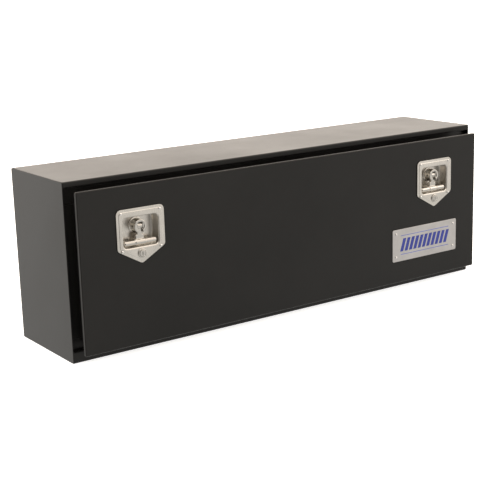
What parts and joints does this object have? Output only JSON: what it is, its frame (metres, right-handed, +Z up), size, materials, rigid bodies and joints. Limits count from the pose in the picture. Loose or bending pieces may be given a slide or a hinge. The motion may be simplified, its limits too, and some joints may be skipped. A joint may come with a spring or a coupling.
{
  "type": "truck tool box",
  "caption": "Long underbody truck tool box in black painted sheet steel, with a drop-down door and folding T-handle latches.",
  "frame": {"origin": "under the middle of the whole box, on the plane it stands on", "axes": "+X along the length, to the right of somebody facing the door; +Y from the door to the back; +Z up"},
  "size_m": [1.2192, 0.301, 0.4064],
  "materials": {
    "black_powder_coat": "black powder coat, satin, with a fine texture",
    "black_rubber": "matt extruded rubber",
    "stainless": "bright satin stainless",
    "zinc_plate": "bright zinc plate",
    "printed_badge": "brushed aluminium with a blue print"
  },
  "bodies": {
    "body": {"body_shell": "black_powder_coat", "left_end_panel": "black_powder_coat", "right_end_panel": "black_powder_coat", "left_jamb": "black_powder_coat", "right_jamb": "black_powder_coat", "door_seal": "black_rubber", "hinge_body_leaf": "zinc_plate", "hinge_pin": "zinc_plate", "left_keeper": "zinc_plate", "right_keeper": "zinc_plate"},
    "door": {"door_skin": "black_powder_coat", "door_inner_pan": "black_powder_coat", "hinge_door_leaf": "zinc_plate", "badge_plate": "printed_badge", "badge_rivet_1": "stainless", "badge_rivet_2": "stainless", "badge_rivet_3": "stainless", "badge_rivet_4": "stainless", "left_latch_plate": "stainless", "left_latch_gasket": "black_rubber", "left_hub": "stainless", "left_pivot_pin": "zinc_plate", "left_lock_housing": "zinc_plate", "left_plate_rivet_1": "stainless", "left_plate_rivet_2": "stainless", "left_plate_rivet_3": "stainless", "left_plate_rivet_4": "stainless", "right_latch_plate": "stainless", "right_latch_gasket": "black_rubber", "right_hub": "stainless", "right_pivot_pin": "zinc_plate", "right_lock_housing": "zinc_plate", "right_plate_rivet_1": "stainless", "right_plate_rivet_2": "stainless", "right_plate_rivet_3": "stainless", "right_plate_rivet_4": "stainless"},
    "left_handle": {"left_handle": "stainless"},
    "left_spindle": {"left_spindle": "zinc_plate", "left_cam": "zinc_plate", "left_cam_nut": "zinc_plate"},
    "left_lock_plug": {"left_lock_plug": "zinc_plate"},
    "right_handle": {"right_handle": "stainless"},
    "right_spindle": {"right_spindle": "zinc_plate", "right_cam": "zinc_plate", "right_cam_nut": "zinc_plate"},
    "right_lock_plug": {"right_lock_plug": "zinc_plate"}
  },
  "joints": [
    {"name": "door_hinge", "type": "hinge", "parent": "body", "child": "door", "pos_m": [0, -0.11855, 0.0305], "axis": [1, 0, 0], "range_deg": [0, 90]},
    {"name": "left_handle_fold", "type": "hinge", "parent": "door", "child": "left_handle", "pos_m": [-0.445, -0.13665, 0.293], "axis": [-1, 0, 0], "range_deg": [0, 90]},
    {"name": "left_cam_turn", "type": "hinge", "parent": "door", "child": "left_spindle", "pos_m": [-0.445, -0.08755, 0.293], "axis": [0, -1, 0], "range_deg": [0, 90]},
    {"name": "left_lock_turn", "type": "hinge", "parent": "door", "child": "left_lock_plug", "pos_m": [-0.445, -0.14455, 0.2324], "axis": [0, 1, 0], "range_deg": [0, 90]},
    {"name": "right_handle_fold", "type": "hinge", "parent": "door", "child": "right_handle", "pos_m": [0.445, -0.13665, 0.293], "axis": [-1, 0, 0], "range_deg": [0, 90]},
    {"name": "right_cam_turn", "type": "hinge", "parent": "door", "child": "right_spindle", "pos_m": [0.445, -0.08755, 0.293], "axis": [0, 1, 0], "range_deg": [0, 90]},
    {"name": "right_lock_turn", "type": "hinge", "parent": "door", "child": "right_lock_plug", "pos_m": [0.445, -0.14455, 0.2324], "axis": [0, 1, 0], "range_deg": [0, 90]}
  ]
}
